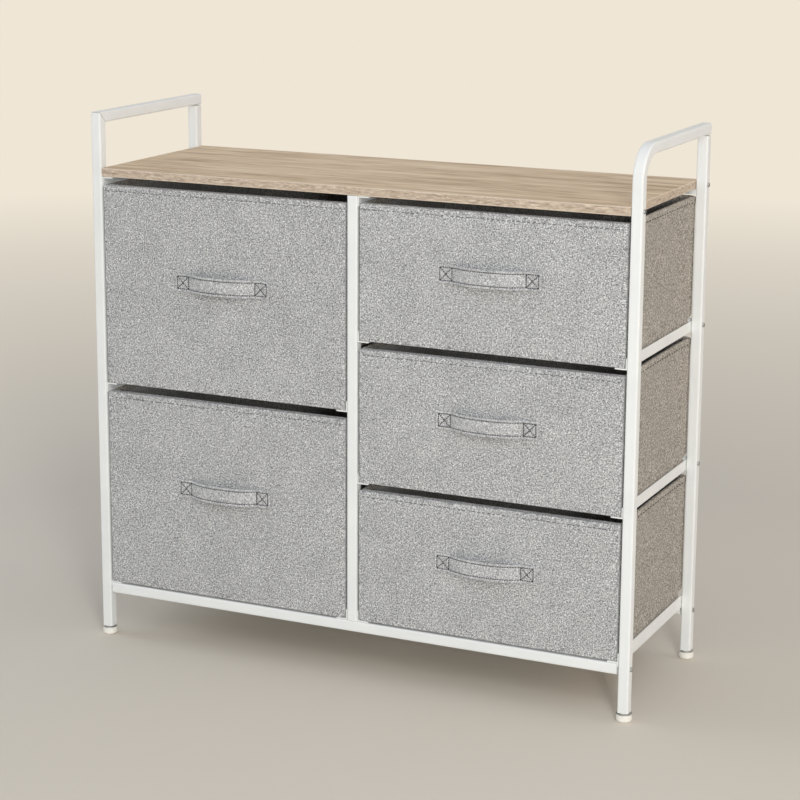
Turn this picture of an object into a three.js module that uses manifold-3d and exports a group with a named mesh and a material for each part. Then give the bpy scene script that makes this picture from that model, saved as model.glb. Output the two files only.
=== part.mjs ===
// Fabric drawer dresser: a white square-tube frame with a wood-look top board between two
// arched end frames, two wide-and-tall fabric drawers on the left and three lower ones on the right.
// Millimetres, +Z up, +X to the viewer's right, the drawers open towards -Y.
// The origin is on the floor, under the centre of the whole object.
import * as THREE from 'three';
import { mergeVertices } from 'three/addons/utils/BufferGeometryUtils.js';
import Module from 'manifold-3d';

const wasm = await Module();
wasm.setup();

// Overall sizes of the frame
const frameWidth = 800;
const frameDepth = 278;
const archTop = 754;
const boardTop = 677.5;
const boardThickness = 12;
const boardCorner = 2;

// Square tube of the posts, arches and cross rails
const tubeSize = 15;
const tubeWall = 1;
const tubeCorner = 2.4;
const bendRadius = 40;
const bendSteps = 8;
const cornerSteps = 3;
const endPlate = 2;

// Gaps: between pieces that touch, and round a screw in its hole
const seatGap = 0.3;
const holeGap = 0.3;

// Glides pushed into the post ends
const footHeight = 12;
const footGroove = 1;
const footRadius = 10.5;
const footEdge = 3;
const footStem = 14;
const footSides = 16;

// Cross rails
const frontRailTop = 79;

// Sheet-steel runners that carry the drawers
const runnerThickness = 1.5;
const flangeThickness = 2;
const flangeWidth = 16;
const runnerSetback = 1.5;
const guardHeight = 12.8;
const lowGuardHeight = 11.2;
const lowLip = 5.3;
const leftLip = 12;
const rearLip = 5;

// Screws
const shankRadius = 2;
const shankLength = 26;
const headRadius = 3.2;
const headHeight = 1.4;
const headEdge = 0.5;
const socketRadius = 1.4;
const socketDepth = 0.9;
const screwSides = 8;
const drillSides = 8;
const drillOverrun = 2;

// Drawers
const drawerSideGap = 3;
const tallGap = 12.8;
const tallTopGap = 11.5;
const smallGap = 11.2;
const smallTopGap = 9.9;
const drawerBackGap = 2;
const panelThickness = 9;
const panelCorner = 2.5;
const binWall = 3;
const binCorner = 4;
const baseThickness = 2.5;
const baseGap = 1;

// Handle straps
const strapWidth = 25;
const strapLength = 145;
const strapThickness = 2;
const strapPatch = 22;
const strapBow = 12.5;
const strapSteps = 12;
const strapHeightShare = 0.549;
const strapBowPower = 2.6;

// Vertices closer than this are one
const mergeDistance = 0.001;

// Colours and surfaces
const paint = { color: 0xeef0ec, roughness: 0.42, metalness: 0 };
const board = { color: 0xc2ad96, roughness: 0.5, metalness: 0 };
const fabric = { color: 0xa8a8a7, roughness: 0.95, metalness: 0 };
const webbing = { color: 0xa9abae, roughness: 0.9, metalness: 0 };
const card = { color: 0x8b8379, roughness: 0.85, metalness: 0 };
const plastic = { color: 0xf3f1ea, roughness: 0.4, metalness: 0 };
const zinc = { color: 0xb4b5b6, roughness: 0.35, metalness: 1 };

// Places worked out from the sizes above
const strapReach = seatGap + strapThickness + strapBow;
const footReach = footRadius - tubeSize / 2;
const frontY = (strapReach - footReach - frameDepth) / 2;
const backY = frontY + frameDepth;
const frontPostY = frontY + tubeSize / 2;
const backPostY = backY - tubeSize / 2;
const endPostX = (frameWidth - tubeSize) / 2;
const endInnerX = frameWidth / 2 - tubeSize;
const boardBottom = boardTop - boardThickness;
const barUnderside = archTop - tubeSize;
const frontRailZ = frontRailTop - tubeSize / 2;
const flangeTop = frontRailTop + seatGap + flangeThickness;
const drawerBottom = flangeTop + seatGap;
const tallPitch = (boardBottom - drawerBottom - tallTopGap + tallGap) / 2;
const smallPitch = (boardBottom - drawerBottom - smallTopGap + smallGap) / 3;
const runnerEndY = frontY + runnerSetback;
const runnerLength = frameDepth - runnerSetback;

const dresser = new THREE.Group();

function addPiece(name, geometry, finish, x = 0, y = 0, z = 0, parent = dresser) {
  const mesh = new THREE.Mesh(geometry, new THREE.MeshStandardMaterial(finish));
  mesh.name = name;
  mesh.position.set(x, y, z);
  parent.add(mesh);
  return mesh;
}

// Joining and cutting

function toSolid(geometry) {
  const bare = geometry.clone();
  bare.deleteAttribute('normal');
  bare.deleteAttribute('uv');
  const merged = mergeVertices(bare, mergeDistance);
  const vertProperties = new Float32Array(merged.attributes.position.array);
  const triVerts = new Uint32Array(merged.index.array);
  return new wasm.Manifold(new wasm.Mesh({ numProp: 3, vertProperties, triVerts }));
}

function toGeometry(solid) {
  const mesh = solid.getMesh();
  const geometry = new THREE.BufferGeometry();
  geometry.setAttribute('position', new THREE.BufferAttribute(mesh.vertProperties, 3));
  geometry.setIndex(new THREE.BufferAttribute(mesh.triVerts, 1));
  return geometry;
}

function joined(first, second) {
  return toGeometry(toSolid(first).add(toSolid(second)));
}

function cut(body, ...tools) {
  return toGeometry(tools.reduce((solid, tool) => solid.subtract(toSolid(tool)), toSolid(body)));
}

// A round drill that runs along X, centred on a point
function drillX(x, y, z, length) {
  const drill = new THREE.CylinderGeometry(shankRadius + holeGap, shankRadius + holeGap, length, drillSides);
  return drill.rotateZ(Math.PI / 2).translate(x, y, z);
}

// Square tube sections

function roundedRectangle(width, height, radius) {
  const right = width / 2;
  const top = height / 2;
  const shape = new THREE.Shape();
  shape.moveTo(radius - right, -top);
  shape.lineTo(right - radius, -top);
  shape.absarc(right - radius, radius - top, radius, -Math.PI / 2, 0, false);
  shape.lineTo(right, top - radius);
  shape.absarc(right - radius, top - radius, radius, 0, Math.PI / 2, false);
  shape.lineTo(radius - right, top);
  shape.absarc(radius - right, top - radius, radius, Math.PI / 2, Math.PI, false);
  shape.lineTo(-right, radius - top);
  shape.absarc(radius - right, radius - top, radius, Math.PI, 1.5 * Math.PI, false);
  return shape;
}

function extruded(shape, depth) {
  return new THREE.ExtrudeGeometry(shape, { depth, bevelEnabled: false, curveSegments: cornerSteps });
}

function boreShape() {
  const bore = tubeSize - 2 * tubeWall;
  return roundedRectangle(bore, bore, tubeCorner - tubeWall);
}

function tubeShape() {
  const shape = roundedRectangle(tubeSize, tubeSize, tubeCorner);
  shape.holes.push(boreShape());
  return shape;
}

// A length of open tube that stands along +Z from the origin
function openTube(length) {
  return extruded(tubeShape(), length);
}

// Cuts the upper end of a standing tube at 45 degrees, its long side at +Y or at -Y
function mitreTop(geometry, length, longSide) {
  const position = geometry.attributes.position;
  const joint = Math.SQRT1_2 * seatGap;
  for (let i = 0; i < position.count; i += 1) {
    if (position.getZ(i) > length / 2) {
      position.setZ(i, length - joint - (tubeSize / 2 - longSide * position.getY(i)));
    }
  }
  return geometry;
}

// Thin plate that closes a tube end, from z up
function closingPlate(z) {
  return extruded(roundedRectangle(tubeSize, tubeSize, tubeCorner), tubeWall).translate(0, 0, z);
}

// Front post that bends back over its corner into the arch bar; its rear end gets a closing plate
const archRun = frameDepth - tubeSize / 2 - tubeWall;

class ArchPath extends THREE.Curve {
  getPoint(t, target = new THREE.Vector3()) {
    const station = t * (bendSteps + 2);
    const centreZ = archTop - tubeSize / 2 - bendRadius;
    if (station <= 1) {
      return target.set(0, 0, THREE.MathUtils.lerp(footHeight, centreZ, station));
    }
    const turn = Math.min((station - 1) / bendSteps, 1) * Math.PI / 2;
    const run = Math.max(station - 1 - bendSteps, 0) * (archRun - bendRadius);
    return target.set(0, bendRadius * (1 - Math.cos(turn)) + run, centreZ + bendRadius * Math.sin(turn));
  }

  // Keeps the cross sections at the stations of getPoint
  getUtoTmapping(u) {
    return u;
  }
}

function bentTube() {
  const options = { extrudePath: new ArchPath(), steps: bendSteps + 2, curveSegments: cornerSteps };
  const tube = new THREE.ExtrudeGeometry(tubeShape(), options);
  const plate = closingPlate(0).rotateX(-Math.PI / 2).translate(0, archRun, archTop - tubeSize / 2);
  return joined(tube, plate);
}

// Cross rail along X: a tube with a drilled plate welded into each end
function crossRail(length) {
  const outside = extruded(roundedRectangle(tubeSize, tubeSize, tubeCorner), length);
  const inside = extruded(boreShape(), length - 2 * endPlate).translate(0, 0, endPlate);
  const bar = cut(outside, inside).rotateY(Math.PI / 2).translate(-length / 2, 0, 0);
  return cut(bar, drillX(0, 0, 0, length + 2 * drillOverrun));
}

// Runner along Y with its web on the side of x = 0; side is the way its flange points
function runner(side, guard, lip, width = flangeWidth, length = runnerLength) {
  const corners = [];
  if (lip > 0) {
    corners.push([0, -lip], [runnerThickness, -lip], [runnerThickness, 0]);
  } else {
    corners.push([0, 0]);
  }
  corners.push([width, 0], [width, flangeThickness]);
  if (guard > 0) {
    corners.push([runnerThickness, flangeThickness], [runnerThickness, flangeThickness + guard]);
  }
  corners.push([0, flangeThickness + guard]);
  const shape = new THREE.Shape(corners.map(([x, z]) => new THREE.Vector2(side * x, z)));
  return extruded(shape, length).rotateX(Math.PI / 2).translate(0, length, 0);
}

// Screw with a low round head and a socket, its shank along +Z from the face it closes on
function screw() {
  const profile = [
    [0, shankLength], [shankRadius, shankLength], [shankRadius, -seatGap], [headRadius, -seatGap],
    [headRadius, -seatGap - headEdge], [headRadius - headEdge, -seatGap - headHeight],
    [socketRadius, -seatGap - headHeight], [socketRadius, -seatGap - headHeight + socketDepth],
    [0, -seatGap - headHeight + socketDepth],
  ].map(([r, z]) => new THREE.Vector2(r, z)).reverse();
  return new THREE.LatheGeometry(profile, screwSides).rotateX(Math.PI / 2);
}

// Glide: a round foot with a rolled lower edge and a stem that fills the tube
function foot() {
  const stemRadius = tubeSize / 2 - tubeWall - seatGap;
  const shoulder = footHeight - footGroove;
  const outline = new THREE.Path();
  outline.moveTo(0, 0);
  outline.lineTo(footRadius - footEdge, 0);
  outline.absarc(footRadius - footEdge, footEdge, footEdge, -Math.PI / 2, 0, false);
  outline.lineTo(footRadius, shoulder);
  outline.lineTo(stemRadius, shoulder);
  outline.lineTo(stemRadius, footHeight + footStem);
  outline.lineTo(0, footHeight + footStem);
  return new THREE.LatheGeometry(outline.getPoints(cornerSteps), footSides).rotateX(Math.PI / 2);
}

// End frames

const boardScrewZ = boardBottom + boardThickness / 2;
const postScrewsZ = [frontRailZ, boardScrewZ];
const backRailAboveFlange = seatGap + tubeSize / 2;
const leftBackRailZ = flangeTop + tallPitch + backRailAboveFlange;
const rightBackRailsZ = [1, 2].map((step) => flangeTop + step * smallPitch + backRailAboveFlange);

function drilledPost(geometry, heights) {
  return cut(geometry, ...heights.map((z) => drillX(0, 0, z, tubeSize + 2 * drillOverrun)));
}

function standing(length) {
  return openTube(length).translate(0, 0, footHeight);
}

const frontPostLength = archTop - footHeight;
const rearPostLength = barUnderside - seatGap - footHeight;
const leftFrontPost = mitreTop(openTube(frontPostLength), frontPostLength, -1).translate(0, 0, footHeight);
const leftRearPost = drilledPost(standing(rearPostLength), [...postScrewsZ, leftBackRailZ]);
const rightRearPost = drilledPost(standing(rearPostLength), [...postScrewsZ, ...rightBackRailsZ]);
addPiece('left_front_post', drilledPost(leftFrontPost, postScrewsZ), paint, -endPostX, frontPostY);
addPiece('left_rear_post', leftRearPost, paint, -endPostX, backPostY);
addPiece('right_front_post_and_arch', drilledPost(bentTube(), postScrewsZ), paint, endPostX, frontPostY);
addPiece('right_rear_post', rightRearPost, paint, endPostX, backPostY);

// Left arch bar: its front end is mitred into the post, its rear end is closed and lies on the rear post
const leftBarLength = frameDepth - tubeWall;
const leftBar = mitreTop(openTube(leftBarLength), leftBarLength, 1);
const leftBarClosed = joined(leftBar, closingPlate(-tubeWall)).rotateX(Math.PI / 2);
addPiece('left_arch_bar', leftBarClosed, paint, -endPostX, backY - tubeWall, archTop - tubeSize / 2);

// Middle frame: the front post reaches the board, the rear post the rail under the board's rear edge

const middleFoot = frontRailTop + seatGap;
const boardRailZ = boardBottom - seatGap - flangeThickness;
const middleTops = { front: boardBottom - seatGap, rear: boardRailZ - rearLip - seatGap };
for (const [place, y] of [['front', frontPostY], ['rear', backPostY]]) {
  addPiece(`middle_${place}_post`, openTube(middleTops[place] - middleFoot), paint, 0, y, middleFoot);
}

// Cross rails. The long ones butt on the webs of the end runners.

const longRailHalf = endInnerX - runnerThickness - 2 * seatGap;
addPiece('front_bottom_rail', crossRail(2 * longRailHalf), paint, 0, frontPostY, frontRailZ);
addPiece('rear_bottom_rail', crossRail(2 * longRailHalf), paint, 0, backPostY, frontRailZ);

// The back rails stop the drawers. They lie on the flanges of the runners, between the guards; the
// left end runner has no guard, so that rail reaches its post.
function addBackRail(name, side, outerEnd, z) {
  const innerEnd = tubeSize / 2 + runnerThickness + 2 * seatGap;
  addPiece(name, crossRail(outerEnd - innerEnd), paint, side * (outerEnd + innerEnd) / 2, backPostY, z);
}

addBackRail('left_back_rail', -1, endInnerX - seatGap, leftBackRailZ);
addBackRail('right_lower_back_rail', 1, longRailHalf, rightBackRailsZ[0]);
addBackRail('right_upper_back_rail', 1, longRailHalf, rightBackRailsZ[1]);

// Runners

const leftEndX = -endInnerX + seatGap;
const rightEndX = endInnerX - seatGap;
const middleX = tubeSize / 2 + seatGap;
const flangeBottom = flangeTop - flangeThickness;

// Drills a runner's guard where the end screw of a back rail passes
function drilledRunner(geometry) {
  return cut(geometry, drillX(0, backPostY - runnerEndY, flangeThickness + backRailAboveFlange, tubeSize));
}

function addRunner(name, geometry, x, z) {
  addPiece(name, geometry, paint, x, runnerEndY, z);
}

addRunner('left_board_runner', runner(1, 0, leftLip), leftEndX, boardRailZ);
addRunner('left_end_upper_runner', runner(1, 0, leftLip), leftEndX, flangeBottom + tallPitch);
addRunner('left_end_lower_runner', runner(1, 0, lowLip), leftEndX, flangeBottom);
addRunner('middle_left_upper_runner', runner(-1, guardHeight, 0), -middleX, flangeBottom + tallPitch);
addRunner('middle_left_lower_runner', runner(-1, guardHeight, 0), -middleX, flangeBottom);
for (const [step, level] of ['lower', 'middle', 'upper'].entries()) {
  const z = flangeBottom + step * smallPitch;
  addRunner(`middle_right_${level}_runner`, runner(1, guardHeight, 0), middleX, z);
  const lowest = step === 0;
  const endRunner = lowest ? runner(-1, lowGuardHeight, lowLip) : drilledRunner(runner(-1, guardHeight, 0));
  addRunner(`right_end_${level}_runner`, endRunner, rightEndX, z);
}

// Angle under the board's rear edge, its web in front, from the left runner to the right rear post
const rearRailLength = rightEndX - (leftEndX + flangeWidth + seatGap);
const rearBoardRail = runner(1, 0, rearLip, tubeSize, rearRailLength).rotateZ(Math.PI / 2);
addPiece('rear_board_rail', rearBoardRail, paint, rightEndX, backY - tubeSize, boardRailZ);

// Top board between the end frames

const boardLength = 2 * (endInnerX - seatGap);
const boardBlank = extruded(roundedRectangle(boardLength, frameDepth, boardCorner), boardThickness);
const boardHoles = [];
for (const side of [-1, 1]) {
  for (const y of [frontPostY, backPostY]) {
    const centreY = y - (frontY + backY) / 2;
    boardHoles.push(drillX(side * boardLength / 2, centreY, boardThickness / 2, 2 * shankLength));
  }
}
addPiece('top_board', cut(boardBlank, ...boardHoles), board, 0, (frontY + backY) / 2, boardBottom);

// Feet and screws

for (const [side, x] of [['left', -endPostX], ['right', endPostX]]) {
  addPiece(`${side}_front_foot`, foot(), plastic, x, frontPostY);
  addPiece(`${side}_rear_foot`, foot(), plastic, x, backPostY);
}

// A screw in an end post, its head on the outer face; side is -1 on the left and 1 on the right
function addScrew(name, side, y, z) {
  const geometry = screw().rotateY(-side * Math.PI / 2);
  addPiece(name, geometry, zinc, side * frameWidth / 2, y, z);
}

for (const [name, side] of [['left', -1], ['right', 1]]) {
  addScrew(`${name}_front_board_screw`, side, frontPostY, boardScrewZ);
  addScrew(`${name}_rear_board_screw`, side, backPostY, boardScrewZ);
  addScrew(`${name}_front_rail_screw`, side, frontPostY, frontRailZ);
  addScrew(`${name}_rear_rail_screw`, side, backPostY, frontRailZ);
}
addScrew('left_back_rail_screw', -1, backPostY, leftBackRailZ);
addScrew('right_lower_back_rail_screw', 1, backPostY, rightBackRailsZ[0]);
addScrew('right_upper_back_rail_screw', 1, backPostY, rightBackRailsZ[1]);

// Drawers: a stiff fabric-covered front, an open fabric bin behind it, a board on the bin's floor
// and a strap handle sewn to the front

const bayInner = tubeSize / 2;
const drawerWidth = endInnerX - bayInner - 2 * drawerSideGap;
const drawerX = (endInnerX + bayInner) / 2;
const drawerDepth = frameDepth - tubeSize - drawerBackGap;
const binDepth = drawerDepth - panelThickness - seatGap;

function panel(height) {
  const shape = roundedRectangle(drawerWidth, height, panelCorner);
  return extruded(shape, panelThickness).rotateX(Math.PI / 2).translate(0, panelThickness, height / 2);
}

function bin(height) {
  const outside = extruded(roundedRectangle(drawerWidth, binDepth, binCorner), height);
  const hollow = roundedRectangle(drawerWidth - 2 * binWall, binDepth - 2 * binWall, binCorner - binWall);
  return cut(outside, extruded(hollow, height).translate(0, 0, binWall));
}

function base() {
  const inset = 2 * (binWall + baseGap);
  const shape = roundedRectangle(drawerWidth - inset, binDepth - inset, binCorner - binWall);
  return extruded(shape, baseThickness);
}

// How far the strap stands off the front at a distance x from its middle
function strapRise(x) {
  const share = Math.min(Math.abs(x) / (strapLength / 2 - strapPatch), 1);
  return strapBow * (1 - share ** strapBowPower);
}

function strap() {
  const half = strapLength / 2;
  const bowed = half - strapPatch;
  const places = [-half];
  for (let i = 0; i <= strapSteps; i += 1) {
    places.push(bowed * (2 * i / strapSteps - 1));
  }
  places.push(half);
  const inner = places.map((x) => new THREE.Vector2(x, strapRise(x)));
  const outer = inner.map((point) => new THREE.Vector2(point.x, point.y + strapThickness)).reverse();
  const shape = new THREE.Shape([...inner, ...outer].map(({ x, y }) => new THREE.Vector2(x, -y)));
  return extruded(shape, strapWidth).translate(0, 0, -strapWidth / 2);
}

function addDrawer(name, x, z, height) {
  const drawer = new THREE.Group();
  drawer.position.set(x, frontY, z);
  dresser.add(drawer);
  const binY = panelThickness + seatGap + binDepth / 2;
  addPiece(`${name}_drawer_front`, panel(height), fabric, 0, 0, 0, drawer);
  addPiece(`${name}_drawer_bin`, bin(height), fabric, 0, binY, 0, drawer);
  addPiece(`${name}_drawer_base`, base(), card, 0, binY, binWall + seatGap, drawer);
  addPiece(`${name}_drawer_strap`, strap(), webbing, 0, -seatGap, strapHeightShare * height, drawer);
}

for (const [step, level] of ['lower', 'upper'].entries()) {
  addDrawer(`${level}_left`, -drawerX, drawerBottom + step * tallPitch, tallPitch - tallGap);
}
for (const [step, level] of ['lower', 'middle', 'upper'].entries()) {
  addDrawer(`${level}_right`, drawerX, drawerBottom + step * smallPitch, smallPitch - smallGap);
}

export default dresser;
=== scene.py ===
"""Looks of a fabric drawer dresser: white tube frame, wood-look top board, five fabric drawers."""
import math
import random

import bmesh
import bpy
from mathutils import Matrix, Vector


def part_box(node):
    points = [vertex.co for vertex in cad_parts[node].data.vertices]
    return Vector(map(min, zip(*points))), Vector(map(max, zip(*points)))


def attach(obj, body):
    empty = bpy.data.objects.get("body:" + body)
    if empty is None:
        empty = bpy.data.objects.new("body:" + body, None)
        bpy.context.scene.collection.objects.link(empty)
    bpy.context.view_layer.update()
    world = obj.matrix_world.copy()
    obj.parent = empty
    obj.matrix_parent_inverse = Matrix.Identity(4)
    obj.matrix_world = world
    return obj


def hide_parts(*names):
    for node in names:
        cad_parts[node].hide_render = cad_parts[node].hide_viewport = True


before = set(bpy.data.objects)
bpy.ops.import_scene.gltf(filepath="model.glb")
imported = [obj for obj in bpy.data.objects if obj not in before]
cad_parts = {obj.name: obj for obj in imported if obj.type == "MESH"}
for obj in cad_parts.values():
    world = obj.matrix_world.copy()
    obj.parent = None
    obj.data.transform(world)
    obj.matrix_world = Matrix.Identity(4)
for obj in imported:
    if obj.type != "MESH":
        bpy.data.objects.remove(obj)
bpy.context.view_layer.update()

MM = 0.001

# Nearer than this two places count as one, and past this share a direction runs along an axis
TOUCHING = 0.01 * MM
ALIGNED = 0.99

# Square tube of the frame, its gaps and open seams, and the plane of the mitred corner
TUBE = 15 * MM
TUBE_CORNER = 2.4 * MM
TUBE_SEGMENTS = 4
BEND_RADIUS = 40 * MM
BEND_STEPS = 20
SEAT_GAP = 0.3 * MM
ARCH_SEAM = 1 * MM
MITRE = (0, 1, 1)

# Sheet-steel runners
SHEET = 1.5 * MM
FLANGE = 2 * MM
RUNNER_DEPTH = 16 * MM
LEFT_LIP = 12 * MM
LOW_LIP = 5.3 * MM
REAR_LIP = 5 * MM

# Softening of edges. Past its angle, in degrees, an edge is sharp; a face smaller than this is
# taken out
CUT_EDGE = 0.35 * MM
CUT_SEGMENTS = 2
CUT_ANGLE = 40
COLLAPSED = 0.03 * MM
FELT_ANGLE = 60

# Glides
FOOT_RADIUS = 10.5 * MM
FOOT_SHOULDER = 11 * MM
FOOT_ROLL = 3 * MM
FOOT_ROLL_SEGMENTS = 6
FOOT_RIM = 0.4 * MM
FOOT_RIM_SEGMENTS = 3
FOOT_WASHER = 1 * MM
FOOT_STEM = 6.2 * MM
FOOT_SIDES = 48

# Screw heads
HEAD_RADIUS = 3.2 * MM
HEAD_HEIGHT = 1.4 * MM
HEAD_EDGE = 0.6 * MM
HEAD_SEGMENTS = 4
HEAD_SIDES = 36
SOCKET_RADIUS = 1.6 * MM
SOCKET_DEPTH = 0.9 * MM
HEXAGON_ANGLE = math.radians(60)
SHANK_RADIUS = 2 * MM

# Top board. Its edge band has a painted highlight, paler between two distances from the board's
# middle height, along its rounded top and bottom rims
BOARD_CORNER = 2 * MM
BOARD_EDGE = 1.2 * MM
BOARD_SEGMENTS = 4
BAND_SLOPE = 0.8
BAND_HIGHLIGHT_START = 4.2 * MM
BAND_HIGHLIGHT_END = 5.4 * MM

# Drawer fronts, drawn in round the edge and slightly wavy
FRONT_CELL = 9 * MM
FRONT_EDGE = 3.2 * MM
FRONT_SEGMENTS = 4
FRONT_DRAW = 0.7 * MM
FRONT_DRAW_REACH = 14 * MM
FRONT_WAVE = 0.12 * MM
FRONT_WAVE_X = 31 * MM
FRONT_WAVE_Z = 43 * MM

# Drawer bins
BIN_WALL = 3 * MM
BIN_CORNER = 4 * MM
BIN_CORNER_SEGMENTS = 5
BIN_CELL = 22 * MM

# Sag of the bins' side walls: its depth, the share of a half wave that it takes from floor to rim,
# and how uneven it is, with the lengths of those waves
BIN_SAG = 1.8 * MM
BIN_SAG_WAVE = 0.86
BIN_UNEVEN = 0.3
BIN_WAVE_X = 61 * MM
BIN_WAVE_Y = 47 * MM
BIN_WAVE_Z = 53 * MM

# Rims, dipped corners and hems of the bins. A face that looks at a bin's middle from further off
# than the lining depth is lining
BIN_RIM = 1 * MM
BIN_RIM_SEGMENTS = 3
BIN_DIP = 3.5 * MM
BIN_DIP_REACH = 9 * MM
BIN_DIP_CUTS = 3
HEM = 9.5 * MM
LINING_DEPTH = 12 * MM
HEM_STEP = 0.5 * MM

# Swell of the bins' backs, and the flare of their rear corners
BIN_FLARE = 2.8 * MM
BIN_BACK_SWELL = 12 * MM
SWELL_REACH = 24 * MM
SWELL_START = 15.6 * MM
SWELL_RISE = 6 * MM
SWELL_CUTS = 3
LIP_CLEARANCE = 14 * MM
LIP_CUTS = 2

# Base boards
BASE_CORNER = 1 * MM
BASE_CORNER_SEGMENTS = 5

# Seams
STITCH_PITCH = 10 * MM
STITCH_LENGTH = 7 * MM
STITCH_WIDTH = 1.8 * MM
HEM_SEAM = 8 * MM
FRONT_SEAM = 7.5 * MM
FRONT_SEAM_CUT = 0.9 * MM
FRONT_SEAM_CUTS = 2
FRONT_GROOVE = 1 * MM
FRONT_STITCH_PITCH = 7 * MM
FRONT_STITCH_LENGTH = 5 * MM
FRONT_STITCH_WIDTH = 1.4 * MM
SEAM_SEARCH = 20 * MM

# Strap handles. Past the outer share of its thickness a point is on the strap's outer face
STRAP_WIDTH = 25 * MM
STRAP_LENGTH = 145 * MM
STRAP_THICKNESS = 2 * MM
STRAP_PATCH = 22 * MM
STRAP_BOW = 12.5 * MM
STRAP_BOW_POWER = 2.6
STRAP_CELL = 0.7 * MM
STRAP_SEAM = 3.8 * MM
STRAP_EDGE = 0.9 * MM
STRAP_EDGE_SEGMENTS = 3
STRAP_OUTER = 0.9
STRAP_RIDGE = 0.6 * MM
STRAP_GROOVE = 1.2 * MM
STRAP_GROOVE_WIDTH = 0.9 * MM
STITCH_SINK = 0.4
STRAP_STITCH_PITCH = 3.1 * MM
STRAP_STITCH_LENGTH = 2.8 * MM
STRAP_STITCH_WIDTH = 1.3 * MM

# Room, in metres: the floor, and where it fades into the backdrop
FLOOR_RADIUS = 14
FLOOR_SIDES = 96
FADE_START = 1.0
FADE_END = 4.5
FLOOR_TONE = "#ddd5c7"
BACKDROP_TONE = "#efe6d6"
WORLD_TONE = "#f3f7ff"
WORLD_STRENGTH = 0.52

# Area lamps: name, place, target, width in metres, watts and tint
LAMPS = (("front_light", (2.3, -3.4, 1.2), (0, 0, 0.4), 0.55, 54, "#ffffff"),
         ("key_light", (2.2, -3.3, 2.6), (0, 0, 0.35), 1.8, 40, "#ffffff"),
         ("side_light", (3.2, 0.4, 1.3), (0.4, 0, 0.4), 1.6, 10, "#ffdcb4"),
         ("left_light", (-3.0, -0.6, 1.5), (-0.4, 0, 0.4), 1.6, 16, "#e6f0ff"))

# Viewpoint in millimetres and lens, worked out from the photograph's edges
CAMERA_PLACE = Vector((1281.1, -2738.3, 1098.7)) * MM
CAMERA_YAW = 24.551
CAMERA_PITCH = -12.687
CAMERA_ROLL = 0.413
CAMERA_LENS = 100.62
CAMERA_SENSOR = 36
CAMERA_SHIFT_X = -0.0175
CAMERA_SHIFT_Y = -0.05

DRAWERS = ("upper_left", "lower_left", "upper_right", "middle_right", "lower_right")
X, Y, Z = 0, 1, 2

# The felt's waves start at a random phase below this
PHASES = 10
random.seed(7)


def colour(code):
    """sRGB hex to the linear colour that a socket takes."""
    channels = [int(code[i:i + 2], 16) / 255 for i in (1, 3, 5)]
    return [c / 12.92 if c <= 0.04045 else ((c + 0.055) / 1.055) ** 2.4 for c in channels] + [1]


def add(tree, kind, links, **settings):
    """Adds a node, sets its settings, and links or sets its inputs, by name or number."""
    made = tree.nodes.new(kind)
    for name, value in settings.items():
        setattr(made, name, value)
    for name, value in links.items():
        if isinstance(value, bpy.types.NodeSocket):
            tree.links.new(value, made.inputs[name])
        else:
            made.inputs[name].default_value = value
    return made


def new_material(name, **shader):
    """Material with an empty Principled shader; what is uniform is set on the shader itself."""
    material = bpy.data.materials.new(name)
    material.use_nodes = True
    tree = material.node_tree
    tree.nodes.clear()
    surface = add(tree, "ShaderNodeBsdfPrincipled",
                  {key.replace("_", " "): value for key, value in shader.items()})
    add(tree, "ShaderNodeOutputMaterial", {"Surface": surface.outputs[0]})
    place = add(tree, "ShaderNodeTexCoord", {})
    return material, tree, surface, place.outputs["Object"]


def ramp(tree, value, stops):
    """Colour ramp on a value, from (position, hex) pairs."""
    made = add(tree, "ShaderNodeValToRGB", {"Fac": value})
    for index, (position, code) in enumerate(stops):
        if index > 1:
            made.color_ramp.elements.new(position)
        made.color_ramp.elements[index].position = position
        made.color_ramp.elements[index].color = colour(code)
    return made.outputs["Color"]


def powder_coat():
    """Polyester powder coat on steel: satin white with the faint orange peel that baking leaves."""
    material, tree, surface, place = new_material("white_powder_coat", Roughness=0.42, IOR=1.5)
    peel = add(tree, "ShaderNodeTexNoise",
               {"Vector": place, "Scale": 1 / (1.6 * MM), "Detail": 2.0})
    cloud = add(tree, "ShaderNodeTexNoise",
                {"Vector": place, "Scale": 1 / (55 * MM), "Detail": 2.0})
    tone = ramp(tree, cloud.outputs[0], [(0.3, "#ebedea"), (0.7, "#f1f2ef")])
    bump = add(tree, "ShaderNodeBump",
               {"Height": peel.outputs[0], "Strength": 0.12, "Distance": 0.2 * MM})
    tree.links.new(tone, surface.inputs["Base Color"])
    tree.links.new(bump.outputs[0], surface.inputs["Normal"])
    return material


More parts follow.
